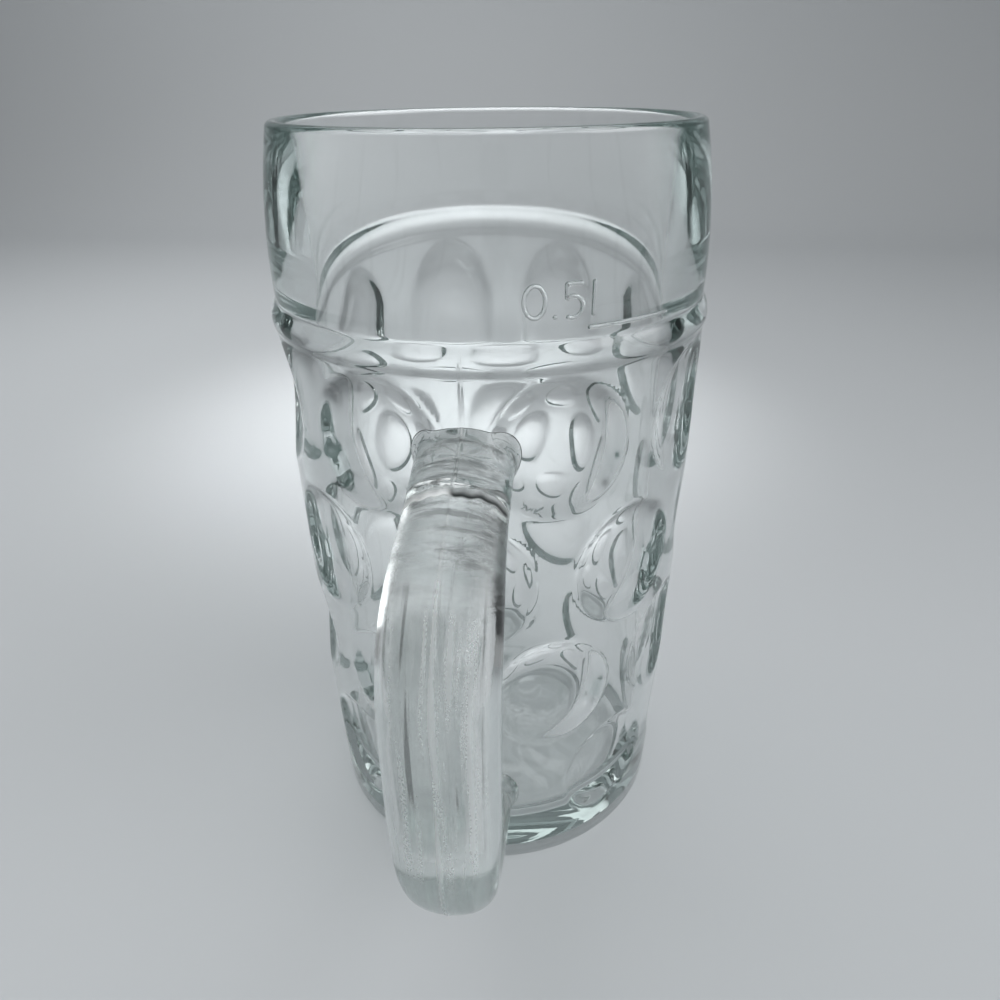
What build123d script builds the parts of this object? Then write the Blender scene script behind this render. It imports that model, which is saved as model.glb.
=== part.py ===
"""Dimpled half-litre beer mug of pressed glass, in millimetres.

+Z is up, the origin is the middle of the foot on the table, and the handle points along +X.
The mug is a blank of revolution with four rings of scooped dimples, hollowed by a cavity that opens above them.
A bar handle meets it face to face at two flared roots, and a raised fill line and figures sit on the band.
"""

import os
from math import cos, degrees, radians, sin, sqrt, tan

from build123d import *

# Overall form
height = 161.0
lip_radius = 41.8  # outside, where the lip starts to round over
lip_thickness = 2.6

# Plain band above the shoulder ring, bowed outwards between the ring and the lip
band_radius = 44.0  # where the band meets the shoulder ring
band_bow = 1.0  # how far the band stands out of the straight line from ring to lip

# Shoulder ring
ring_top = 129.0
ring_width = 5.4
ring_proud = 1.2  # beyond the band

# Dimpled wall between the foot and the shoulder ring
shoulder_radius = 44.6  # ridge radius just under the ring
wall_belly = 0.6  # how far the ridges bow out of a straight taper

# Foot
foot_radius = 41.3
foot_height = 4.0
foot_round = 3.0
stand_width = 7.5  # flat ring that the mug rests on
recess_depth = 2.0  # hollow under the base

# Cavity
base_thickness = 9.0
cavity_floor_radius = 36.0
cavity_corner = 9.0
neck_radius = 36.5  # inside, where the cavity starts to open towards the lip
neck_rise = 3.0  # from the shoulder ring up to there
neck_round = 40.0

# Dimples, in staggered rings
dimples_per_ring = 8
dimple_rings = 4
dimple_height = 27.2
dimple_angle = 34.0  # how much of the circumference one dimple takes, in degrees
dimple_depth = 2.8
dimple_foot = 7.0  # plain wall left under the bottom ring of dimples
dimple_head = 0.9  # and between the top ring and the shoulder ring

# Handle
handle_width = 19.6
handle_thickness = 13.0
handle_corner = 5.8
handle_reach = 84.5  # outermost point from the axis
upper_root_drop = 16.7  # from the shoulder ring down to where the middle of the upper arm meets the wall
lower_root_rise = 24.6  # from the table up to where the middle of the lower arm meets it
upper_arm_slope = 20.6  # degrees, falling away from the wall
lower_arm_slope = 19.3  # degrees, rising away from the wall
upper_bend = 24.0  # radius of the middle line
lower_bend = 18.0
root_spread = 2.4  # how far an arm's section has grown all round where it meets the wall
root_length = 9.0  # how far a root's flare reaches out of the wall

# Raised marks on the band
mark_relief = 0.45
mark_stroke = 0.8
fill_rise = 2.0  # from the shoulder ring up to the middle of the line
fill_start = 28.0  # degrees round from the handle
fill_sweep = 23.0
figure_height = 6.0
figure_gap = 1.4  # from the fill line to the foot of the figures
figure_angle = 22.5  # degrees round from the handle to the middle of the figures
figure_pitch = 3.4
figure_width = 3.6
nought_width = 4.3

# Worked-out sizes
ring_bottom = ring_top - ring_width
fill_height = ring_top + fill_rise
upper_root_height = ring_bottom - upper_root_drop
lip_start = height - lip_thickness / 2  # the lip is fully rounded above this height
lip_crest = lip_radius - lip_thickness / 2
cavity_lip_radius = lip_radius - lip_thickness
stand_outer_radius = foot_radius - foot_round
stand_inner_radius = stand_outer_radius - stand_width
dimple_pitch = 360.0 / dimples_per_ring
first_dimple = foot_height + dimple_foot + dimple_height / 2
last_dimple = ring_bottom - dimple_head - dimple_height / 2
ring_rise = (last_dimple - first_dimple) / (dimple_rings - 1)


def bowed_radius(z, low, high, bow):
    """Radius at height z on the arc from low to high, (radius, z) points, that bows outwards at its middle."""
    share = (z - low[1]) / (high[1] - low[1])
    return low[0] + share * (high[0] - low[0]) + 4 * bow * share * (1 - share)


band_ends = (band_radius, ring_top), (lip_radius, lip_start)
wall_ends = (foot_radius, foot_height), (shoulder_radius, ring_bottom)
band_middle = bowed_radius((ring_top + lip_start) / 2, *band_ends, band_bow), (ring_top + lip_start) / 2
wall_middle = bowed_radius((foot_height + ring_bottom) / 2, *wall_ends, wall_belly), (foot_height + ring_bottom) / 2


def upright_plane(angle):
    """Upright plane through the axis, angle degrees round from the handle, with X outwards and Y up."""
    turn = radians(angle)
    return Plane(origin=(0, 0, 0), x_dir=(cos(turn), sin(turn), 0), z_dir=(sin(turn), -cos(turn), 0))


def dimple_cutter(z):
    """Scoop for one dimple at height z on +X: a crowned wheel on an upright axle outside the wall."""
    ridge = bowed_radius(z, *wall_ends, wall_belly)
    half_angle = radians(dimple_angle / 2)
    half_width = ridge * sin(half_angle)
    hollow = dimple_depth - ridge * (1 - cos(half_angle))  # depth below the dimple's own chord
    wheel = (half_width**2 + hollow**2) / (2 * hollow)
    crown = ((dimple_height / 2) ** 2 + dimple_depth**2) / (2 * dimple_depth)
    bottom = ridge - dimple_depth
    reach = 1.25 * dimple_height / 2
    outside = bottom + crown - sqrt(crown**2 - reach**2)
    swing = 2.5 * degrees(half_width / wheel)
    axle = Axis((bottom + wheel, 0, 0), (0, 0, 1))
    with BuildPart() as cutter:
        with BuildSketch(Plane.XZ):
            with BuildLine():
                ThreePointArc((outside, z - reach), (bottom, z), (outside, z + reach))
                Line((outside, z + reach), (outside, z - reach))
            make_face()
        revolve(axis=axle, revolution_arc=swing)
    return cutter.part.rotate(axle, -swing / 2)


# Outer form of the glass, still solid inside
with BuildPart() as blank:
    with BuildSketch(Plane.XZ):
        with BuildLine():
            ThreePointArc((0, recess_depth), (stand_inner_radius / 2, 0.75 * recess_depth), (stand_inner_radius, 0))
            Line((stand_inner_radius, 0), (stand_outer_radius, 0))
            TangentArc((stand_outer_radius, 0), (foot_radius, foot_round), tangent=(1, 0))
            Line((foot_radius, foot_round), (foot_radius, foot_height))
            ThreePointArc(wall_ends[0], wall_middle, wall_ends[1])
            ThreePointArc(wall_ends[1], (band_radius + ring_proud, ring_bottom + ring_width / 2), band_ends[0])
            band = ThreePointArc(band_ends[0], band_middle, band_ends[1])
            TangentArc(band @ 1, (lip_crest, height), tangent=band % 1)
            Line((lip_crest, height), (0, height))
            Line((0, height), (0, recess_depth))
        make_face()
    revolve(axis=Axis.Z)
    dimples = []
    for ring in range(dimple_rings):
        cutter = dimple_cutter(first_dimple + ring * ring_rise)
        for place in range(dimples_per_ring):
            # Rings alternate, so that each dimple sits over a ridge. The lower root of the handle
            # takes the place of the bottom ring's dimple in the handle's own plane.
            if (ring, place) != (0, 0):
                dimples.append(cutter.rotate(Axis.Z, (place + 0.5 * (ring % 2)) * dimple_pitch))
    add(dimples, mode=Mode.SUBTRACT)

# Hollow glass body: the blank without its cavity
with BuildPart() as mug_body:
    add(blank.part)
    with BuildSketch(Plane.XZ):
        with BuildLine():
            inside = FilletPolyline(
                (0, base_thickness),
                (cavity_floor_radius, base_thickness),
                (neck_radius, ring_top + neck_rise),
                (cavity_lip_radius, lip_start),
                radius=[cavity_corner, neck_round],
            )
            TangentArc(inside @ 1, (lip_crest, height), tangent=inside % 1)
            Polyline((lip_crest, height), (0, height), (0, base_thickness))
        make_face()
    revolve(axis=Axis.Z, mode=Mode.SUBTRACT)
mug_body.part.label = "mug_body"


def arm_end(root_height, slope):
    """Where an arm's middle line, rising at slope degrees, crosses the wall, and the way it leaves."""
    radius = bowed_radius(root_height, *wall_ends, wall_belly)
    return Vector(radius, 0, root_height), Vector(cos(radians(slope)), 0, sin(radians(slope)))


def arm_section(origin, outwards, spread):
    """Rounded section of the handle bar across an arm, grown by spread all round."""
    across = Plane(origin=origin, x_dir=(0, 1, 0), z_dir=outwards)
    with BuildSketch(across) as section:
        RectangleRounded(handle_width + 2 * spread, handle_thickness + 2 * spread, handle_corner + spread)
    return section.sketch


def root(origin, outwards):
    """Flared root of an arm, from well inside the wall to where the plain bar begins."""
    with BuildPart() as flare:
        for along, spread in (-1, 1), (0, 1), (0.3, 0.36), (0.6, 0.08), (1, 0):
            add(arm_section(origin + outwards * along * root_length, outwards, spread * root_spread))
        loft()
    return flare.part


upper_end, upper_way = arm_end(upper_root_height, -upper_arm_slope)
lower_end, lower_way = arm_end(lower_root_rise, lower_arm_slope)
grip_radius = handle_reach - handle_thickness / 2


def arm_corner(origin, slope):
    """Where an arm's middle line, drawn on, meets the upright line of the grip."""
    return grip_radius, origin.Z + (grip_radius - origin.X) * tan(radians(slope))


# Handle: a bar bent round from one root to the other, ending on the dimpled wall
with BuildPart() as handle:
    bar_start = upper_end + upper_way * root_length
    bar_end = lower_end + lower_way * root_length
    with BuildLine(Plane.XZ) as middle_line:
        FilletPolyline(
            (bar_start.X, bar_start.Z),
            arm_corner(upper_end, -upper_arm_slope),
            arm_corner(lower_end, lower_arm_slope),
            (bar_end.X, bar_end.Z),
            radius=[upper_bend, lower_bend],
        )
    sweep(sections=arm_section(bar_start, upper_way, 0), path=middle_line.wire())
    add(root(upper_end, upper_way))
    add(root(lower_end, lower_way))
    add(blank.part, mode=Mode.SUBTRACT)
handle.part.label = "handle"

# Skin of the band, as deep as the raised marks stand out, with its seam away from them
with BuildPart() as band_skin:
    with BuildSketch(upright_plane(180)):
        with BuildLine():
            under = ThreePointArc(band_ends[0], band_middle, band_ends[1])
            over = offset(under, amount=mark_relief, side=Side.RIGHT, closed=False, mode=Mode.ADD)
            Line(under @ 0, over @ 0)
            Line(under @ 1, over @ 1)
        make_face()
    revolve(axis=Axis.Z)

# Raised line that marks the half litre
with BuildPart() as fill_line:
    with BuildSketch(upright_plane(fill_start)):
        with Locations((band_radius, fill_height)):
            Rectangle(4 * lip_thickness, mark_stroke)
    revolve(axis=Axis.Z, revolution_arc=fill_sweep)
    add(band_skin.part, mode=Mode.INTERSECT)
fill_line.part.label = "fill_line"

# Raised figures that name the measure: a nought, a point, a five and the litre sign
with BuildPart() as capacity_figures:
    facing = radians(figure_angle)
    figure_foot = fill_height + mark_stroke / 2 + figure_gap
    front = Plane(
        origin=(band_radius * cos(facing), band_radius * sin(facing), figure_foot + figure_height / 2),
        x_dir=(-sin(facing), cos(facing), 0),
        z_dir=(cos(facing), sin(facing), 0),
    )
    half = figure_height / 2
    side = figure_pitch / 2
    with BuildSketch(front):
        with Locations((-3 * side, 0)):
            Ellipse(nought_width / 2, half)
            Ellipse(nought_width / 2 - mark_stroke, half - mark_stroke, mode=Mode.SUBTRACT)
        with Locations((-side, mark_stroke / 2 - half)):
            Circle(mark_stroke / 2)
        with BuildLine(Location((side, 0))):
            pen = mark_stroke / 2
            left = (mark_stroke - figure_width) / 2
            five = Polyline((-left, half - pen), (left, half - pen), (left, 0.1 * half))
            ThreePointArc(five @ 1, (-left, -0.35 * half), (left, -0.8 * half))
        trace(line_width=mark_stroke)
        with Locations((3 * side, 0)):
            Rectangle(mark_stroke, figure_height)
    extrude(amount=4 * lip_thickness, both=True)
    add(band_skin.part, mode=Mode.INTERSECT)
capacity_figures.part.label = "capacity_figures"

os.makedirs("parts", exist_ok=True)
for piece in (mug_body, handle, fill_line, capacity_figures):
    export_step(piece.part, f"parts/{piece.part.label}.step")
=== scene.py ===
"""Dimpled half-litre beer mug of pressed glass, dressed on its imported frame.

Laid out as an add-on: each operator makes one piece or group, and main() calls them in order.
Sizes are in metres, with +Z up, the origin in the middle of the foot and the handle along +X.
"""

import bpy
import numpy as np
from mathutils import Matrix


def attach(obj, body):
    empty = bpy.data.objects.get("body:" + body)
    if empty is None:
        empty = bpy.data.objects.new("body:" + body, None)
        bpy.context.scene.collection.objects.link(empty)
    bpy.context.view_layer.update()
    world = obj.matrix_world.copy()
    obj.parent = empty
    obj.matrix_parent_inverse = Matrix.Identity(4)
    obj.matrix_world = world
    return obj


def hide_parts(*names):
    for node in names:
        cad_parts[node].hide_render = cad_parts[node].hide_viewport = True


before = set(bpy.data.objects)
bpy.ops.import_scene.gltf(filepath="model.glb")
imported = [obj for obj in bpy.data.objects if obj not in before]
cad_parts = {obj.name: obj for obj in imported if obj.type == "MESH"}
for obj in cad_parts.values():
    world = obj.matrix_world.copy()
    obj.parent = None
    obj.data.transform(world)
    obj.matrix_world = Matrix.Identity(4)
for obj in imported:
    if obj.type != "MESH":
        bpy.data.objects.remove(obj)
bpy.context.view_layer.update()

bl_info = {
    "name": "Dimpled glass mug",
    "version": (1, 0, 0),
    "blender": (4, 5, 0),
    "location": "View3D > Sidebar > Mug",
    "description": "Makes a dimpled pressed-glass beer mug and the table it stands on",
    "category": "Add Mesh",
}

MM = 0.001
# Share of its radius at which a disc of points ends and a fan of triangles closes it
POLE = 0.04


def length(name, description, default):
    """A length property, given in millimetres and kept in metres."""
    return bpy.props.FloatProperty(
        name=name, description=description, default=default * MM, unit="LENGTH", precision=5
    )


def turn(name, description, default):
    """An angle property, given in degrees and kept in radians."""
    return bpy.props.FloatProperty(
        name=name, description=description, default=np.radians(default), subtype="ANGLE"
    )


def number(name, description, default):
    """A plain number property."""
    return bpy.props.FloatProperty(name=name, description=description, default=default)


def count(name, description, default):
    """A whole number property."""
    return bpy.props.IntProperty(name=name, description=description, default=default, min=1)


def colour(name, description, default):
    """A colour property of red, green and blue."""
    return bpy.props.FloatVectorProperty(
        name=name, description=description, default=default, subtype="COLOR", size=3, min=0, max=1
    )


class BodySettings(bpy.types.PropertyGroup):
    height: length("Height", "From the table to the top of the lip", 161)
    lip_radius: length("Lip radius", "Outside, where the lip starts to round over", 41.8)
    lip_thickness: length("Lip thickness", "Wall thickness at the lip", 2.6)
    band_radius: length("Band radius", "Where the plain band meets the shoulder ring", 44)
    band_bow: length("Band bow", "How far the band stands out of a straight line", 1)
    ring_top: length("Ring top", "Height of the shoulder ring's upper edge", 129)
    ring_width: length("Ring width", "Height of the shoulder ring itself", 5.4)
    ring_proud: length("Ring proud", "How far the shoulder ring stands out of the band", 1.2)
    ring_blend: length("Ring blend", "Softness of the shoulder ring's edges", 0.35)
    shoulder_radius: length("Shoulder radius", "Ridge radius just under the ring", 44.6)
    wall_belly: length("Wall belly", "How far the ridges bow out of a straight taper", 0.6)
    foot_radius: length("Foot radius", "Outside of the foot", 41.3)
    foot_height: length("Foot height", "Where the wall starts", 4)
    foot_round: length("Foot round", "Radius of the foot's lower edge", 3)
    stand_width: length("Stand width", "Width of the flat ring that the mug rests on", 7.5)
    recess_depth: length("Recess depth", "Depth of the hollow under the base", 2)
    base_thickness: length("Base thickness", "From the table to the floor of the cup", 9)
    floor_radius: length("Floor radius", "Inside radius at the floor of the cup", 36)
    floor_corner: length("Floor corner", "Radius between floor and wall inside", 9)
    neck_radius: length("Neck radius", "Inside radius where the cup starts to open towards the lip", 36.5)
    neck_rise: length("Neck rise", "From the shoulder ring up to where the cup starts to open", 3)
    neck_soft: length("Neck softness", "How far the neck inside is rounded", 0.17)
    dimple_rings: count("Dimple rings", "Rings of dimples, one above the other", 4)
    dimples_per_ring: count("Dimples per ring", "Dimples round the mug", 8)
    dimple_height: length("Dimple height", "Height of one dimple", 27.2)
    dimple_angle: turn("Dimple angle", "How much of the circumference one dimple takes", 34)
    dimple_depth: length("Dimple depth", "Depth in the middle of a dimple", 2.8)
    dimple_power: number(
        "Dimple power", "2 scoops a dimple evenly, more gives a flat floor and a steep rim", 4
    )
    dimple_foot: length("Dimple foot", "Plain wall under the bottom ring of dimples", 7)
    dimple_head: length("Dimple head", "Plain wall over the top ring of dimples", 0.9)
    dimple_soft: length("Dimple softness", "How far a dimple's edge melts into the ridge", 0.55)
    seam_height: length("Seam height", "How far the mould seam stands out", 0.16)
    seam_width: length("Seam width", "Half width of the mould seam", 0.3)


class HandleSettings(bpy.types.PropertyGroup):
    width: length("Width", "Across the grip", 19.6)
    low_width: length("Lower width", "Across the lower bend, to which the grip narrows", 17)
    arm_width: length("Arm width", "Across the upper arm, to which the grip narrows", 18)
    thickness: length("Thickness", "From the outer face of the grip to the fingers", 13)
    roundness: number("Roundness", "Power of the oval section: 2 is an ellipse, more is squarer", 2.25)
    arm_roundness: number("Arm roundness", "The same power at the upper root", 2.0)
    reach: length("Reach", "From the mug's axis to the outer face of the grip", 84.5)
    upper_drop: length("Upper drop", "From the shoulder ring down to the upper root", 16.7)
    lower_rise: length("Lower rise", "From the table up to the lower root", 24.6)
    upper_slope: turn("Upper slope", "How the upper arm falls away from the wall", 20.6)
    lower_slope: turn("Lower slope", "How the lower arm rises away from the wall", 18.4)
    upper_bend: length("Upper bend", "Radius of the middle line at the top", 24)
    lower_bend: length("Lower bend", "Radius of the middle line at the bottom", 18)
    root_spread: length("Root spread", "How far the section has grown at the wall", 1.0)
    root_length: length("Root length", "How far the flare of a root reaches", 5)
    crease_way: length("Crease way", "From the wall to the crease across the upper arm", 11.1)
    crease_depth: length("Crease depth", "Depth of the crease where the glass folded", 0.7)
    crease_width: length("Crease width", "Half width of the crease", 0.7)
    root_sink: length("Root sink", "How far a root runs into the wall to weld with it", 0.04)


class MarkSettings(bpy.types.PropertyGroup):
    relief: length("Relief", "How far the marks stand out", 0.45)
    sink: length("Sink", "How far the marks run into the wall to weld with it", 0.06)
    stroke: length("Stroke", "Width of a line", 0.8)
    fill_rise: length("Fill rise", "From the shoulder ring up to the fill line", 2)
    fill_start: turn("Fill start", "Where the fill line starts, round from the handle", 28)
    fill_sweep: turn("Fill sweep", "How far round the fill line goes", 23)
    figure_height: length("Figure height", "Height of the figures", 6)
    figure_gap: length("Figure gap", "From the fill line to the foot of the figures", 1.4)
    figure_angle: turn("Figure angle", "Middle of the figures, round from the handle", 22.5)
    figure_pitch: length("Figure pitch", "From one figure to the next", 3.4)
    figure_width: length("Figure width", "Width of the five", 3.6)
    nought_width: length("Nought width", "Width of the nought", 4.3)


class GlassSettings(bpy.types.PropertyGroup):
    tint: colour("Tint", "What a long way through the glass leaves of white light", (0.45, 0.58, 0.55))
    density: number("Density", "How soon the tint shows, per metre", 14.0)
    ior: number("Refraction", "Index of refraction of soda-lime glass", 1.51)
    shadow: number("Shadow", "How much light each face passes on to what lies in the shadow", 0.94)
    frost: colour("Frost", "Colour of the satin skin where the glass was chilled", (0.84, 0.87, 0.87))
    # Painted shade: the near-black tone that the frost takes in dark streaks, along wrinkles and at one side
    # of the crease
    painted_shade: colour("Gloom", "Colour of that skin in creases and dark streaks", (0.02, 0.025, 0.025))


class StageSettings(bpy.types.PropertyGroup):
    floor: colour("Floor", "Colour of the table and the wall behind it", (0.54, 0.565, 0.58))
    horizon: number("Horizon", "Brightness of the plain grey beyond the table", 0.28)
    room: number("Room", "Brightness of the room above that", 0.1)
    window: number("Window", "Brightness of the soft window to the right", 2.8)
    sky: number("Sky", "Brightness of the pale light from behind and above", 1.4)
    panel: number("Panel", "Power of the soft panel to the left", 1.25)
    wash: number("Wash", "Power of the lamp that washes the backdrop", 1.7)
    pool: number("Pool", "Power of the lamp that makes a bright pool behind the mug", 0.14)
    fill: number("Fill", "Power of the soft lamp in front", 2.7)


def soft_min(a, b, blend):
    """The lower of a and b, with the corner where they cross rounded over a height of blend."""
    share = np.clip(0.5 + 0.5 * (b - a) / blend, 0, 1)
    return b + (a - b) * share - blend * share * (1 - share)


def bowed(z, low, high, bow):
    """Radius at height z on a parabola from low to high, both (radius, z), that bows out by bow halfway."""
    share = (z - low[1]) / (high[1] - low[1])
    return low[0] + share * (high[0] - low[0]) + 4 * bow * share * (1 - share)


def ease(x):
    """0 below 0, 1 above 1 and a smooth cubic between."""
    x = np.clip(x, 0, 1)
    return x * x * (3 - 2 * x)


def lip_start(body):
    """Height at which the fully rounded lip begins: half its thickness under the top."""
    return body.height - body.lip_thickness / 2


def ring_bottom(body):
    """Height of the shoulder ring's lower edge."""
    return body.ring_top - body.ring_width


def ridge_radius(body, z):
    """Radius of the wall's ridges at height z: a taper from the foot to the shoulder with a slight belly."""
    ends = (body.foot_radius, body.foot_height), (body.shoulder_radius, ring_bottom(body))
    return bowed(z, *ends, body.wall_belly)


def plain_radius(body, z):
    """Outer radius without dimples: the wall eases into the band, and a parabolic bead stands out of both."""
    band = bowed(z, (body.band_radius, body.ring_top), (body.lip_radius, lip_start(body)), body.band_bow)
    wall = ridge_radius(body, z)
    base = wall + (band - wall) * ease((z - ring_bottom(body)) / body.ring_width)
    middle = body.ring_top - body.ring_width / 2
    crown = body.band_radius + body.ring_proud - (body.band_radius + body.shoulder_radius) / 2
    bead = base + crown * (1 - ((z - middle) / (body.ring_width / 2)) ** 2)
    return -soft_min(-base, -bead, body.ring_blend)


def scooped_radius(body, angle, z, ring):
    """Outer radius of one ring of dimples, each an oval with a flat floor and a steep rim.

    With a share of 0 in the middle of a dimple and 1 on its oval rim, the depth is the full one
    times 1 less a power of the share. Under the lower root of the handle there is no dimple.
    """
    first = body.foot_height + body.dimple_foot + body.dimple_height / 2
    last = ring_bottom(body) - body.dimple_head - body.dimple_height / 2
    middle = first + ring * (last - first) / max(body.dimple_rings - 1, 1)
    pitch = 2 * np.pi / body.dimples_per_ring
    place = angle / pitch - 0.5 * (ring % 2)
    off = (place - np.round(place)) * pitch
    share = np.hypot(off / (body.dimple_angle / 2), (z - middle) / (body.dimple_height / 2))
    hollow = body.dimple_depth * (1 - np.minimum(share, 2) ** body.dimple_power)
    filled = (ring == 0) & (np.round(place) % body.dimples_per_ring == 0)
    return ridge_radius(body, z) - np.where(filled, -body.dimple_depth, hollow)


def wall_radius(body, angle, z):
    """Outer radius at an angle round from the handle and a height.

    It is the lowest of the plain form and all rings of dimples, with soft edges between them.
    """
    radius = plain_radius(body, z) + 0 * angle
    for ring in range(body.dimple_rings):
        radius = soft_min(radius, scooped_radius(body, angle, z, ring), body.dimple_soft)
    return radius


def seam(body, across, z):
    """Height of the mould seam: a bell curve of the distance across from its plane, gone above the ring."""
    fade = 1 - ease((z - ring_bottom(body)) / body.ring_width)
    return body.seam_height * fade * np.exp(-((across / body.seam_width) ** 2))


def wall_columns():
    """Angles of the wall's columns of points: even, but close together on the seam at the handle."""
    near_seam, fine, even = 1.2, 17, 322
    close = np.linspace(-near_seam, near_seam, fine)
    return np.radians(np.concatenate([close, np.linspace(near_seam, 360 - near_seam, even)[1:-1]]))


def wall_rows(body):
    """Heights of the wall's rows of points, closest together on the shoulder ring."""
    under_ring, over_ring = ring_bottom(body) - 0.5 * MM, body.ring_top + 0.8 * MM
    stops = body.foot_round, body.foot_height + body.dimple_foot, under_ring, over_ring, lip_start(body)
    rows = 8, 152, 26, 24
    return np.concatenate([np.linspace(*ends, n)[1:] for *ends, n in zip(stops, stops[1:], rows)])


def faceted_radius(body):
    """The wall as its mesh has it: its grid of radii, and a function that blends the four nearest points."""
    columns, rows = wall_columns(), wall_rows(body)
    # There is a seam only at the handle, so the far half counts as far away from its plane
    across = body.band_radius * np.sin(columns) + body.height * (np.cos(columns) < 0)
    grid = wall_radius(body, columns, rows[:, None]) + seam(body, across, rows[:, None])
    angles, radii = np.append(columns, columns[0] + 2 * np.pi), np.concatenate([grid, grid[:, :1]], axis=1)

    def radius(angle, z):
        """Radius at an angle and a height, by shares of the way over and up between four points."""
        angle = (angle - columns[0]) % (2 * np.pi) + columns[0]
        column = np.clip(np.searchsorted(angles, angle) - 1, 0, len(columns) - 1)
        row = np.clip(np.searchsorted(rows, z) - 1, 0, len(rows) - 2)
        over = (angle - angles[column]) / (angles[column + 1] - angles[column])
        up = (z - rows[row]) / (rows[row + 1] - rows[row])
        low = radii[row, column] * (1 - over) + radii[row, column + 1] * over
        high = radii[row + 1, column] * (1 - over) + radii[row + 1, column + 1] * over
        return low * (1 - up) + high * up

    return grid, radius


def inner_radius(body, z):
    """Radius of the cup at height z: two straight tapers that meet, rounded, above the shoulder ring."""
    neck = body.neck_radius, body.ring_top + body.neck_rise
    taper = bowed(z, (body.floor_radius, body.base_thickness), neck, 0)
    flare = bowed(z, neck, (body.lip_radius - body.lip_thickness, lip_start(body)), 0)
    return -soft_min(-taper, -flare, body.neck_soft)


def on_wall(radius, angle, z):
    """Points at a radius, an angle round from the handle and a height."""
    return np.stack(np.broadcast_arrays(radius * np.cos(angle), radius * np.sin(angle), z), axis=-1)


def closed_mesh(name, grids, skins=None):
    """One mesh of closed islands, each a grid of rows of points whose columns run round.

    A grid given as (points, True) also joins its last row to its first. Any other is closed by a
    point in the middle of its first and last rows. Each island faces outwards. A grid of skins
    keeps, as an attribute, where each point lies across and along its piece.
    """
    points, faces, start = [], [], 0
    for grid, loop in grids:
        rows, columns = grid.shape[:2]
        index = np.arange(rows * columns).reshape(rows, columns)
        near = index if loop else index[:-1]
        far = np.roll(index, -1, axis=0) if loop else index[1:]
        quads = np.stack([near, np.roll(near, -1, 1), np.roll(far, -1, 1), far], -1).reshape(-1, 4)
        flat = grid.reshape(-1, 3)
        corners = flat[quads]
        sweep = np.cross(corners[:, 2] - corners[:, 0], corners[:, 3] - corners[:, 1])
        inside_out = ((corners.mean(1) - flat.mean(0)) * sweep).sum() < 0
        polygons = [quads]
        if not loop:
            ends = np.stack([grid[0].mean(0), grid[-1].mean(0)])
            flat = np.concatenate([flat, ends])
            pole = np.full(columns, rows * columns)
            polygons.append(np.stack([pole, np.roll(index[0], -1), index[0]], -1))
            polygons.append(np.stack([pole + 1, index[-1], np.roll(index[-1], -1)], -1))
        for group in polygons:
            faces += ((group[:, ::-1] if inside_out else group) + start).tolist()
        points.append(flat)
        start += len(flat)
    mesh = bpy.data.meshes.new(name)
    mesh.from_pydata(np.concatenate(points).tolist(), [], faces)
    mesh.polygons.foreach_set("use_smooth", np.ones(len(mesh.polygons), bool))
    if skins is not None:
        kept = np.concatenate([skins.reshape(-1, 3), [skins[0].mean(0)], [skins[-1].mean(0)]])
        mesh.attributes.new("skin", "FLOAT_VECTOR", "POINT").data.foreach_set("vector", kept.ravel())
    mesh.update()
    return mesh


def place_piece(mesh, material, node):
    """Puts a finished mesh in the scene as the glass that stands for one solid of the frame."""
    piece = bpy.data.objects.new(mesh.name, mesh)
    bpy.context.scene.collection.objects.link(piece)
    mesh.materials.append(material)
    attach(piece, "root")
    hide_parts(node)


class Value:
    """A socket in a node tree, on which arithmetic adds Math nodes."""

    def __init__(self, tree, socket):
        self.tree = tree
        self.socket = socket

    def node(self, kind, settings=None, output=0, **inputs):
        """Adds a node with its settings, then its inputs by name, and gives one of its outputs."""
        made = self.tree.nodes.new(kind)
        for name, value in (settings or {}).items():
            setattr(made, name, value)
        for name, value in inputs.items():
            socket = made.inputs[int(name[1:])] if name[0] == "_" else made.inputs[name.replace("_", " ")]
            if isinstance(value, Value):
                self.tree.links.new(value.socket, socket)
            else:
                socket.default_value = value
        return Value(self.tree, made.outputs[output]) if made.outputs else None

    def maths(self, operation, a, b=0.0):
        """One Math node on one or two values or numbers."""
        return self.node("ShaderNodeMath", {"operation": operation}, _0=a, _1=b)

    def between(self, low, high):
        """0 where this value is low, 1 where it is high, and a smooth step between."""
        smooth = {"interpolation_type": "SMOOTHSTEP"}
        return self.node("ShaderNodeMapRange", smooth, Value=self, From_Min=low, From_Max=high)

    def __add__(self, other):
        return self.maths("ADD", self, other)

    def __radd__(self, other):
        return self.maths("ADD", other, self)

    def __sub__(self, other):
        return self.maths("SUBTRACT", self, other)

    def __rsub__(self, other):
        return self.maths("SUBTRACT", other, self)

    def __mul__(self, other):
        return self.maths("MULTIPLY", self, other)

    def __rmul__(self, other):
        return self.maths("MULTIPLY", other, self)


def empty_material(name):
    """A new material without nodes, and a Value from which its nodes are added."""
    material = bpy.data.materials.new(name)
    material.use_nodes = True
    material.node_tree.nodes.clear()
    return material, Value(material.node_tree, None)


def noise(vector, size, detail, roughness=0.5):
    """Noise over a vector, with lumps of a size in millimetres."""
    return vector.node(
        "ShaderNodeTexNoise", Vector=vector, Scale=1 / (size * MM), Detail=detail, Roughness=roughness
    )


def body_face(nodes):
    """Height and roughness of the body's skin, without frost.

    Slow waves of the mould and a trace of chill marks give the height, and broad smears the roughness.
    """
    place = nodes.node("ShaderNodeTexCoord", output="Object")
    waves, marks, smears = noise(place, 14, 1.0), noise(place, 1.2, 2.0), noise(place, 18, 3.0)
    wave_height, mark_height, dullness = 0.03 * MM, 0.0015 * MM, 0.02
    return waves * wave_height + marks * mark_height, smears * dullness, None


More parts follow.
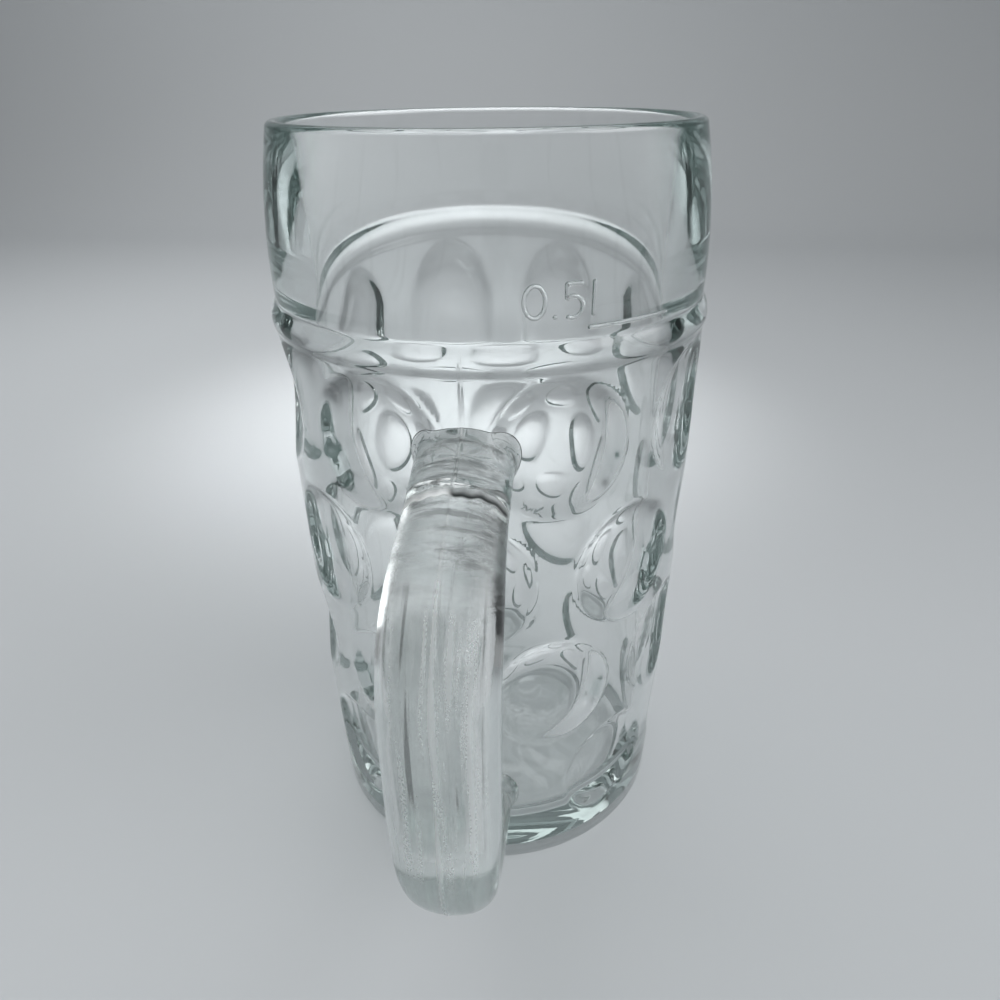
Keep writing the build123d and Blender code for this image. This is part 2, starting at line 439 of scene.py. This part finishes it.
def crease_offset(handle, way, across, sine):
    """Distance off the crease, in half widths: its line wavers by a slow and a quick sine across the arm."""
    slow, quick = 1.1 * MM, 0.43 * MM
    waver = 0.3 * sine(across * (1 / slow)) + 0.25 * sine(across * (1 / quick) + 1.0)
    return (way - handle.crease_way) * (1 / handle.crease_width) - waver


def handle_face(nodes):
    """Height, roughness and frost of the handle's skin, which cooled first and kept the most marks.

    Streaks run along the grip and fade at the lower bend, and fine grain lies over them. The upper arm
    is clearer, with soft folds near the wall and wrinkles below the crease. The outer face is satin and
    the sides are clear. Of the frost, the share of the skin that it takes and its darkness are given. The
    darkness is painted shade in dark streaks, along the wrinkles and at one side of the crease, and the
    other side of the crease is a painted highlight of white frost.
    """
    handle = bpy.context.scene.mug_handle
    skin = nodes.node("ShaderNodeAttribute", {"attribute_name": "skin"}, output="Vector")
    side, out, way = [nodes.node("ShaderNodeSeparateXYZ", output=axis, Vector=skin) for axis in "XYZ"]

    def drawn_by(scale):
        """The place on the skin, scaled so that marks are long where the scale is small."""
        return nodes.node("ShaderNodeVectorMath", {"operation": "MULTIPLY"}, _0=skin, _1=scale)

    along_bar, across_bar, rough = drawn_by((1, 1, 0.05)), drawn_by((0.14, 0.14, 1)), 0.6
    streaks, patches = noise(along_bar, 1.6, 2.0, rough), noise(along_bar, 5, 2.0, rough)
    wrinkles, folds = noise(across_bar, 0.7, 3.0, rough), noise(across_bar, 3, 1.0, rough)
    grain = noise(skin, 0.4, 2.0, rough)
    chilled = patches.between(0.35, 0.65)

    # Where on the bar the marks lie: on the arm, on the grip above its lower bend, and on the outer face
    arm_end, grip_start, bend_start, bend_end = 22 * MM, 32 * MM, 68 * MM, 88 * MM
    arm = way.between(grip_start, arm_end)
    grip = (1 - arm) * (1 - way.between(bend_start, bend_end) * 0.75)
    below_crease = way.between(handle.crease_way - 2 * MM, handle.crease_way)
    rim = nodes.maths("ABSOLUTE", side) + (patches - 0.5) * (3 * MM)
    face = rim.between(0.47 * handle.width, 0.36 * handle.width) * out.between(0, 0.3 * handle.thickness)

    streak_height, grain_height = 0.07 * MM, 0.008 * MM
    wrinkle_height, speck_height, fold_height = 0.2 * MM, 0.04 * MM, 0.5 * MM
    grip_skin = streaks * (chilled * 0.5 + 0.5) * grip * streak_height + grain * (1 - arm) * grain_height
    arm_skin = (wrinkles * wrinkle_height + grain * speck_height) * below_crease + folds * fold_height
    height = grip_skin + arm_skin * arm

    # The crease is painted: a painted highlight of white frost at one side of the arm and painted shade at
    # the other
    off = crease_offset(
        handle, way, side * (handle.arm_width / handle.width), lambda value: nodes.maths("SINE", value)
    )
    crease = nodes.maths("EXPONENT", off * off * -0.5) * out.between(0, 2 * MM)
    painted_crease_shade = crease * (side + (patches - 0.5) * (6 * MM)).between(-2 * MM, 1 * MM)

    # Satin lies in light streaks and on the mould seam; painted shade lies in dark streaks on the grip and
    # along the wrinkles of the arm
    off_seam = side * (1 / (0.25 * MM))
    seam_line = nodes.maths("EXPONENT", off_seam * off_seam * -1.0) * (1 - chilled * 0.7)
    lines = streaks.between(0.42, 0.62) * grip + wrinkles.between(0.42, 0.62) * arm
    satin = 0.22 + 0.6 * lines + 0.2 * chilled + 0.2 * grain.between(0.4, 0.7)
    satin = face * satin * (1 - arm * 0.85) + seam_line * face * 1.3
    painted_wrinkle_shade = (wrinkles * 0.4 + folds * 0.6 + (grain - 0.5) * 0.12).between(0.54, 0.39) * arm
    painted_streak_shade = (streaks * 0.7 + patches * 0.3).between(0.47, 0.36) * grip
    painted_shade = (painted_wrinkle_shade + painted_streak_shade) * face
    share = nodes.maths("MAXIMUM", satin * 0.3 + painted_shade * 0.5, crease)
    # The darkness of the frost is painted shade
    darkness = nodes.maths("MAXIMUM", painted_crease_shade, painted_shade * 0.9)
    return height, satin * 0.26 + 0.02, (share, darkness)


def mark_face(nodes):
    """Height and roughness of the raised marks, without frost: soft and a little dull, as the mould was."""
    waves = noise(nodes.node("ShaderNodeTexCoord", output="Object"), 0.8, 2.0)
    wave_height, dullness = 0.02 * MM, 0.12
    return waves * wave_height, waves * dullness, None


def pressed_glass(name, face):
    """Clear glass, tinted by the way through it, with the height, roughness and frost that face gives."""
    glass = bpy.context.scene.mug_glass
    material, nodes = empty_material(name)
    height, roughness, frost = face(nodes)
    bump = nodes.node("ShaderNodeBump", Strength=1.0, Distance=1.0, Height=height)
    surface = nodes.node(
        "ShaderNodeBsdfPrincipled",
        Base_Color=(1, 1, 1, 1),
        Roughness=roughness,
        IOR=glass.ior,
        Transmission_Weight=1.0,
        Normal=bump,
    )
    # On the handle the frost is white satin, mixed towards a painted shade colour by the darkness
    if frost:
        share, darkness = frost
        light, dark = (*glass.frost, 1), (*glass.painted_shade, 1)
        tone = nodes.node("ShaderNodeMix", {"data_type": "RGBA"}, output=2, _0=darkness, _6=light, _7=dark)
        satin = nodes.node("ShaderNodeBsdfPrincipled", Base_Color=tone, Roughness=0.5, Normal=bump)
        surface = nodes.node("ShaderNodeMixShader", _0=share, _1=surface, _2=satin)
    clear = nodes.node("ShaderNodeBsdfTransparent", Color=(glass.shadow,) * 3 + (1,))
    shaded = nodes.node("ShaderNodeLightPath", output="Is Shadow Ray")
    nodes.node(
        "ShaderNodeOutputMaterial",
        Surface=nodes.node("ShaderNodeMixShader", _0=shaded, _1=surface, _2=clear),
        Volume=nodes.node("ShaderNodeVolumeAbsorption", Color=(*glass.tint, 1), Density=glass.density),
    )
    return material


def lower_profile(body):
    """Radii and heights of the foot, from the middle of its hollow out to the wall.

    A parabola hollows the base, the flat ring that the mug stands on follows, and a quarter circle turns up.
    """
    stand_outer = body.foot_radius - body.foot_round
    stand_inner = stand_outer - body.stand_width
    across = np.linspace(POLE, 1, 9) * stand_inner
    under = across, body.recess_depth * (1 - (across / stand_inner) ** 2)
    stand = np.linspace(stand_inner, stand_outer, 4)[1:], np.zeros(3)
    bend = np.linspace(0, np.pi / 2, 8)[1:]
    foot = stand_outer + body.foot_round * np.sin(bend), body.foot_round * (1 - np.cos(bend))
    return [np.concatenate(part) for part in zip(under, stand, foot)]


def upper_profile(body):
    """Radii and heights from the lip over and down the inside to the middle of the floor.

    A half circle rounds the lip, the inner wall falls, an arc that touches it turns in to a flat floor.
    """
    top, radius = lip_start(body), body.lip_thickness / 2
    over = np.linspace(0, np.pi, 16)[1:]
    lip = body.lip_radius - radius + radius * np.cos(over), top + radius * np.sin(over)
    rise = body.ring_top + body.neck_rise - body.base_thickness
    lean = np.arctan2(body.neck_radius - body.floor_radius, rise)
    corner_r = body.floor_radius + body.floor_corner * (np.tan(lean) - 1 / np.cos(lean))
    corner_z = body.base_thickness + body.floor_corner
    turn_in = np.linspace(-lean, -np.pi / 2, 12)
    corner = corner_r + body.floor_corner * np.cos(turn_in), corner_z + body.floor_corner * np.sin(turn_in)
    below_neck = top - 50 * MM
    fine, coarse = np.linspace(top, below_neck, 26), np.linspace(below_neck, corner[1][0], 10)
    fall = np.concatenate([fine[1:], coarse[1:-1]])
    inner = inner_radius(body, fall), fall
    floor = np.linspace(corner_r, POLE * corner_r, 7)[1:], np.full(6, body.base_thickness)
    return [np.concatenate(part) for part in zip(lip, inner, corner, floor)]


class MUG_OT_body(bpy.types.Operator):
    """Make the hollow body with its dimples, shoulder ring, lip and foot"""

    bl_idname = "mug.body"
    bl_label = "Body"

    def execute(self, context):
        body = context.scene.mug_body
        angle, outside = wall_columns(), faceted_radius(body)[0]
        (low_radii, low_heights), (high_radii, high_heights) = lower_profile(body), upper_profile(body)
        radii = np.concatenate([low_radii[:, None] + 0 * angle, outside, high_radii[:, None] + 0 * angle])
        heights = np.concatenate([low_heights, wall_rows(body), high_heights])
        grid = on_wall(radii, angle, heights[:, None])
        glass = pressed_glass("body_glass", body_face)
        place_piece(closed_mesh("glass_body", [(grid, False)]), glass, "mug_body")
        return {"FINISHED"}


def handle_line(body, handle):
    """The middle line of the handle, from wall to wall, by the way along it.

    Two sloping arms and an upright grip are joined by arcs that touch both. Given distances along
    it, two functions give points and directions in the upright plane of the handle as (x, z).
    Also gives the whole length.
    """
    upper = np.array([0, ring_bottom(body) - handle.upper_drop])
    lower = np.array([0, handle.lower_rise])
    upper[0], lower[0] = ridge_radius(body, upper[1]), ridge_radius(body, lower[1])
    grip = handle.reach - handle.thickness / 2
    corner_up = np.array([grip, upper[1] - (grip - upper[0]) * np.tan(handle.upper_slope)])
    corner_down = np.array([grip, lower[1] + (grip - lower[0]) * np.tan(handle.lower_slope)])
    turn_up, turn_down = np.pi / 2 - handle.upper_slope, np.pi / 2 - handle.lower_slope
    cut_up, cut_down = handle.upper_bend * np.tan(turn_up / 2), handle.lower_bend * np.tan(turn_down / 2)
    lengths = [
        np.linalg.norm(corner_up - upper) - cut_up,
        handle.upper_bend * turn_up,
        np.linalg.norm(corner_up - corner_down) - cut_up - cut_down,
        handle.lower_bend * turn_down,
        np.linalg.norm(corner_down - lower) - cut_down,
    ]
    stops = np.concatenate([[0], np.cumsum(lengths)])

    def along(distance):
        """Directions at distances along the line, which turn evenly in the two bends."""
        heading = -handle.upper_slope - turn_up * np.clip((distance - stops[1]) / lengths[1], 0, 1)
        heading = heading - turn_down * np.clip((distance - stops[3]) / lengths[3], 0, 1)
        return np.stack([np.cos(heading), np.sin(heading)], -1)

    steps = np.linspace(0, stops[-1], 4001)
    middle = along((steps[1:] + steps[:-1]) / 2) * np.diff(steps)[:, None]
    walked = upper + np.concatenate([np.zeros((1, 2)), np.cumsum(middle, axis=0)])

    def points(distance):
        """Points at distances along the line, which runs on straight past both ends."""
        at = np.stack([np.interp(distance, steps, walked[:, i]) for i in range(2)], -1)
        before, after = np.minimum(distance, 0), np.maximum(distance - stops[-1], 0)
        return at + before[..., None] * along(np.zeros(1)) + after[..., None] * along(stops[-1:])

    return points, along, stops[-1]


class MUG_OT_handle(bpy.types.Operator):
    """Make the bar handle with its two flared roots"""

    bl_idname = "mug.handle"
    bl_label = "Handle"

    def execute(self, context):
        body, handle = context.scene.mug_body, context.scene.mug_handle
        points, along, whole = handle_line(body, handle)
        facets = faceted_radius(body)[1]
        # Points round the bar, closest together on the seams along its outer and inner faces
        even = np.linspace(0, 2 * np.pi, 145)[:-1]
        about = even + 0.21 * np.sin(2 * even)
        # How far off the wall a root's rows reach, and how far those of the crease reach to each side
        reach, notch = 8 * MM, 4 * handle.crease_width

        def ring(distance, spread):
            """Section of the bar at distances along it: an oval of a given power, grown by spread.

            It is narrower and rounder on the arm and narrower at the lower end, with a seam on two faces.
            """
            arm_stop, arm_fade, low_start, low_fade = 0.08, 0.2, 0.52, 0.26
            arm = 1 - ease((distance / whole - arm_stop) / arm_fade)
            low_end = ease((distance / whole - low_start) / low_fade)
            power = 2 / (handle.roundness + arm * (handle.arm_roundness - handle.roundness))
            narrow = (handle.width - handle.low_width) * low_end + (handle.width - handle.arm_width) * arm
            cosine, sine = np.cos(about), np.sin(about)
            across = ((handle.width - narrow) / 2 + spread) * np.sign(cosine) * np.abs(cosine) ** power
            out = (handle.thickness / 2 - body.seam_height + spread) * np.sign(sine) * np.abs(sine) ** power
            ridge = body.seam_height * np.exp(-((across / body.seam_width) ** 2))
            out = out + np.sign(sine) * ridge - crease(distance, across) * ease(2 * sine)
            at, way = points(distance), along(distance)
            x = at[..., 0] - way[..., 1] * out
            z = at[..., 1] + way[..., 0] * out
            return np.stack(np.broadcast_arrays(x, across, z), -1)

        def crease(distance, across):
            """Depth of the crease: a bell curve of the distance off a line that wavers across the arm."""
            off = crease_offset(handle, distance, across, np.sin)
            return handle.crease_depth * np.exp(-(off**2))

        def grown(off_wall):
            """How far the section has grown at a distance off the wall: it falls away as a cube does."""
            return handle.root_spread * np.clip(1 - off_wall / handle.root_length, 0, 1) ** 3

        def met(sign, start):
            """Distance along the bar at which each line of its skin reaches the wall, found by halving."""
            deepest, farthest = -18 * MM, 12 * MM
            inside, outside = np.full(about.shape, deepest), np.full(about.shape, farthest)
            for _ in range(40):
                middle = (inside + outside) / 2
                at = ring(start + sign * middle, handle.root_spread)
                radius = np.hypot(at[..., 0], at[..., 1])
                wall = facets(np.arctan2(at[..., 1], at[..., 0]), at[..., 2])
                buried = radius < wall - handle.root_sink
                inside, outside = np.where(buried, middle, inside), np.where(buried, outside, middle)
            return (inside + outside) / 2

        def flare(sign, start):
            """Way along the bar and growth of a root's rows, close together near the wall."""
            wall = met(sign, start)
            crowding = 1.6
            off_wall = np.linspace(0, 1, 30)[:, None] ** crowding * (reach - wall)
            return start + sign * (wall + off_wall), grown(off_wall)

        def end(loop):
            """Rows that close a root on the wall's own form, from its edge in to its middle."""
            angle, z = np.arctan2(loop[:, 1], loop[:, 0]), loop[:, 2]
            innermost = 0.03
            share = np.linspace(1, innermost, 40)[1:, None]
            angle, z = share * angle, z.mean() + share * (z - z.mean())
            return on_wall(facets(angle, z) - handle.root_sink, angle, z)

        (upper_way, upper_growth), (lower_way, lower_growth) = flare(1, 0.0), flare(-1, whole)
        crossing = np.linspace(handle.crease_way - notch, handle.crease_way + notch, 60)
        rest = np.linspace(handle.crease_way + notch, whole - reach, 170)[1:-1]
        bar = np.concatenate([crossing, rest])[:, None] + 0 * about
        way = np.concatenate([upper_way, bar, lower_way[::-1]])
        skin = ring(way, np.concatenate([upper_growth, 0 * bar, lower_growth[::-1]]))
        first, last = end(skin[0])[::-1], end(skin[-1])
        way = np.pad(way, ((len(first), len(last)), (0, 0)), mode="edge")
        # Where each point lies on a plain oval bar, for the materials: across it, out of it and along it
        oval = handle.width / 2 * np.cos(about), handle.thickness / 2 * np.sin(about)
        lay = np.stack(np.broadcast_arrays(*oval, way), -1)
        mesh = closed_mesh("bar_handle", [(np.concatenate([first, skin, last]), False)], lay)
        place_piece(mesh, pressed_glass("handle_glass", handle_face), "handle")
        return {"FINISHED"}


def resampled(line, step):
    """Points at even steps along a broken line of (across, up) points."""
    line = np.asarray(line, float)
    walked = np.concatenate([[0], np.cumsum(np.linalg.norm(np.diff(line, axis=0), axis=1))])
    at = np.linspace(0, walked[-1], max(int(walked[-1] / step), 8))
    return np.stack([np.interp(at, walked, line[:, i]) for i in range(2)], -1)


def bead_along(body, marks, line, angle, loop=False):
    """A rounded bead of glass along a line on the band, given in (across, up) points from an angle and z 0.

    Its section is an oval that stands out by the relief and runs into the wall by the sink, and it
    shrinks to a point over the last half stroke at each end, as a half circle does. A loop has no ends.
    """
    pen = marks.stroke / 2
    way = np.roll(line, -1, 0) - np.roll(line, 1, 0) if loop else np.gradient(line, axis=0)
    way = way / np.linalg.norm(way, axis=1)[:, None]
    walked = np.concatenate([[0], np.cumsum(np.linalg.norm(np.diff(line, axis=0), axis=1))])
    left = np.clip(np.minimum(walked, walked[-1] - walked) / pen, 0.02, 1)
    size = np.ones(len(line)) if loop else np.sqrt(1 - (1 - left) ** 2)
    about = np.linspace(0, 2 * np.pi, 17)[:-1]
    side = size[:, None] * pen * np.cos(about)
    rise = np.sin(about) * np.where(np.sin(about) > 0, marks.relief, marks.sink) * size[:, None]
    across = line[:, :1] - way[:, 1:] * side
    z = line[:, 1:] + way[:, :1] * side
    return on_wall(plain_radius(body, z) + rise, angle + across / body.band_radius, z), loop


class MUG_OT_marks(bpy.types.Operator):
    """Make the raised fill line and the figures that name the measure"""

    bl_idname = "mug.marks"
    bl_label = "Marks"

    def execute(self, context):
        body, marks = context.scene.mug_body, context.scene.mug_marks
        fill = body.ring_top + marks.fill_rise
        run = marks.fill_sweep * body.band_radius
        # Points along the line, closest together in the shares at both ends where it shrinks to a point
        tip = 0.05
        ends = tip * np.linspace(0, 1, 20) ** 2
        share = np.concatenate([ends, np.linspace(tip, 1 - tip, 60)[1:-1], 1 - ends[::-1]])
        line = np.stack([share * run, np.full(share.shape, fill)], -1)
        glass = pressed_glass("mark_glass", mark_face)
        rib = bead_along(body, marks, line, marks.fill_start)
        place_piece(closed_mesh("raised_fill_line", [rib]), glass, "fill_line")

        half, pen = marks.figure_height / 2, marks.stroke / 2
        wide = marks.figure_width / 2 - pen
        tall = half - pen
        about = np.linspace(0, 2 * np.pi, 73)[:-1]
        nought = np.stack([(marks.nought_width / 2 - pen) * np.cos(about), tall * np.sin(about)], -1)
        point = np.stack([np.linspace(-pen, pen, 15), np.full(15, -tall)], -1)
        # The five: two straight strokes, and a bowl that is an arc through three points
        bowl_up, bowl_down = 0.1 * half, -0.85 * half
        chord = (bowl_up - bowl_down) / 2
        bulge = (chord**2 + (2 * wide) ** 2) / (4 * wide)
        spread = np.arccos(np.clip(1 - 2 * wide / bulge, -1, 1))
        swing = np.linspace(spread, -spread, 40)
        bowl_middle = wide - bulge, (bowl_up + bowl_down) / 2
        bowl = bowl_middle + bulge * np.stack([np.cos(swing), np.sin(swing)], -1)
        step = 0.06 * MM
        five = resampled(np.concatenate([[(wide, tall), (-wide, tall), (-wide, bowl_up)], bowl[1:]]), step)
        litre = resampled([(0, -half), (0, half)], step)
        middle = fill + pen + marks.figure_gap + half
        grids = []
        for place, path in enumerate((nought, point, five, litre)):
            path = path + ((place - 1.5) * marks.figure_pitch, middle)
            grids.append(bead_along(body, marks, path, marks.figure_angle, loop=place == 0))
        place_piece(closed_mesh("raised_figures", grids), glass, "capacity_figures")
        return {"FINISHED"}


def stage_piece(mesh, material):
    """Puts a mesh of the stage in the scene."""
    piece = bpy.data.objects.new(mesh.name, mesh)
    bpy.context.scene.collection.objects.link(piece)
    mesh.materials.append(material)


def lamp(name, place, aim, size, power, spread=np.pi):
    """A square soft lamp at place that shines towards aim, no wider than spread."""
    light = bpy.data.lights.new(name, "AREA")
    light.energy, light.size, light.spread = power, size, spread
    made = bpy.data.objects.new(name, light)
    made.location = place
    way = np.array(aim, float) - place
    tilt, heading = np.arccos(-way[2] / np.linalg.norm(way)), np.arctan2(way[1], way[0])
    made.rotation_euler = tilt, 0, heading - np.pi / 2
    # Glass shows the pale room and the table, but not the lamp itself
    made.visible_glossy = made.visible_transmission = False
    bpy.context.scene.collection.objects.link(made)


def dim_room(stage):
    """A world that is plain grey near the horizon, with a window and a pale sky in a dim room above that.

    The camera sees the plain grey all over, so that no patch of light shows beside the table.
    """
    world = bpy.data.worlds.new("room")
    world.use_nodes = True
    world.node_tree.nodes.clear()
    nodes = Value(world.node_tree, None)
    way = nodes.node("ShaderNodeTexCoord", output="Generated")

    def patch(towards, start, full):
        """Share of a soft round patch about a direction, by the cosine of the angle off it."""
        towards = np.array(towards) / np.linalg.norm(towards)
        dot = {"operation": "DOT_PRODUCT"}
        near = nodes.node("ShaderNodeVectorMath", dot, output="Value", _0=way, _1=towards)
        return near.between(start, full)

    dark_side, window_side, sky_side = (0.2, -1, 0.55), (0.1, 1, 0.6), (-0.75, -0.1, 0.65)
    lit = 1 - 0.9 * patch(dark_side, 0.75, 0.93)
    bright = lit * stage.room + stage.window * patch(window_side, 0.86, 0.97)
    bright = bright + stage.sky * patch(sky_side, 0.8, 0.95)
    above = nodes.node("ShaderNodeSeparateXYZ", output="Z", Vector=way).between(0.2, 0.4)
    unseen = 1 - nodes.node("ShaderNodeLightPath", output="Is Camera Ray")
    bright = (bright - stage.horizon) * above * unseen + stage.horizon
    light = nodes.node("ShaderNodeBackground", Color=(0.97, 0.98, 1, 1), Strength=bright)
    nodes.node("ShaderNodeOutputWorld", Surface=light)
    return world


def photograph_camera():
    """A camera fitted to the photograph: it heads round +Z, tilts down and rolls about its line of sight."""
    place = 0.1695, 0.0196, 0.1682
    heading, tilt, roll = np.radians(186.02704), 0.491, -0.011
    forward = np.array([np.cos(heading) * np.cos(tilt), np.sin(heading) * np.cos(tilt), -np.sin(tilt)])
    right = np.cross(forward, (0, 0, 1))
    right /= np.linalg.norm(right)
    up = np.cross(right, forward)
    matrix = np.eye(4)
    matrix[:3, 0] = np.cos(roll) * right + np.sin(roll) * up
    matrix[:3, 1] = np.cos(roll) * up - np.sin(roll) * right
    matrix[:3, 2] = -forward
    matrix[:3, 3] = place
    lens = bpy.data.cameras.new("photograph")
    lens.sensor_width, lens.lens, lens.clip_start = 36, 28.8, 0.01
    camera = bpy.data.objects.new("photograph", lens)
    camera.matrix_world = matrix.T
    return camera


class MUG_OT_stage(bpy.types.Operator):
    """Set the pale table, the soft light and the camera"""

    bl_idname = "mug.stage"
    bl_label = "Stage"

    def execute(self, context):
        scene, stage = context.scene, context.scene.mug_stage
        # The table turns up behind the mug, by a quarter circle, into a wall
        near, far, curve, top, half_width = 4.0, -0.75, 0.3, 1.1, 9.0
        bend = np.linspace(0, np.pi / 2, 17)
        x = np.concatenate([[near], far - curve * np.sin(bend), [far - curve]])
        y = np.linspace(-half_width, half_width, 19)
        z = np.concatenate([[0], curve * (1 - np.cos(bend)), [top]])
        grid = np.stack(np.broadcast_arrays(x[:, None], y, z[:, None]), -1)
        index = np.arange(grid.shape[0] * grid.shape[1]).reshape(grid.shape[:2])
        quads = np.stack([index[:-1, :-1], index[:-1, 1:], index[1:, 1:], index[1:, :-1]], -1).reshape(-1, 4)
        mesh = bpy.data.meshes.new("table")
        mesh.from_pydata(grid.reshape(-1, 3).tolist(), [], quads.tolist())
        mesh.polygons.foreach_set("use_smooth", np.ones(len(mesh.polygons), bool))
        material, nodes = empty_material("pale_table")
        paint = nodes.node("ShaderNodeBsdfPrincipled", Base_Color=(*stage.floor, 1), Roughness=0.6)
        nodes.node("ShaderNodeOutputMaterial", Surface=paint)
        stage_piece(mesh, material)

        lamp("panel", (-0.15, -0.35, 0.55), (0, 0, 0.05), 0.35, stage.panel)
        lamp("wash", (-0.4, -0.3, 0.6), (-1.05, -0.2, 0.25), 0.5, stage.wash)
        lamp("pool", (-0.24, -0.05, 0.5), (-0.241, -0.05, 0), 0.1, stage.pool, np.radians(40))
        lamp("fill", (0.5, 0.3, 0.6), (0.14, 0.06, 0), 0.4, stage.fill)
        scene.world = dim_room(stage)
        camera = photograph_camera()
        scene.collection.objects.link(camera)
        scene.camera = camera
        scene.view_settings.view_transform = "Standard"
        # Light runs down inside the thick wall from face to face, and ends black if it is stopped on the way
        scene.cycles.max_bounces = scene.cycles.transmission_bounces = scene.cycles.glossy_bounces = 24
        return {"FINISHED"}


class MUG_PT_panel(bpy.types.Panel):
    """Lists the steps that make the mug"""

    bl_idname = "MUG_PT_panel"
    bl_label = "Dimpled glass mug"
    bl_space_type = "VIEW_3D"
    bl_region_type = "UI"
    bl_category = "Mug"

    def draw(self, context):
        for step in STEPS:
            self.layout.operator(step.bl_idname)
        for name in SETTINGS:
            box = self.layout.box()
            group = getattr(context.scene, name)
            for key in group.bl_rna.properties.keys():
                if key not in ("name", "rna_type"):
                    box.prop(group, key)


SETTINGS = {
    "mug_body": BodySettings,
    "mug_handle": HandleSettings,
    "mug_marks": MarkSettings,
    "mug_glass": GlassSettings,
    "mug_stage": StageSettings,
}
STEPS = (MUG_OT_body, MUG_OT_handle, MUG_OT_marks, MUG_OT_stage)


def register():
    """Registers the settings, steps and panel, and puts the settings on the scene."""
    for group in (*SETTINGS.values(), *STEPS, MUG_PT_panel):
        bpy.utils.register_class(group)
    for name, group in SETTINGS.items():
        setattr(bpy.types.Scene, name, bpy.props.PointerProperty(type=group))


def unregister():
    """Takes away what register() put in place."""
    for name in SETTINGS:
        delattr(bpy.types.Scene, name)
    for group in (MUG_PT_panel, *reversed(STEPS), *reversed(SETTINGS.values())):
        bpy.utils.unregister_class(group)


def main():
    """Makes the mug and its stage."""
    register()
    bpy.ops.mug.body()
    bpy.ops.mug.handle()
    bpy.ops.mug.marks()
    bpy.ops.mug.stage()


if __name__ == "__main__":
    main()
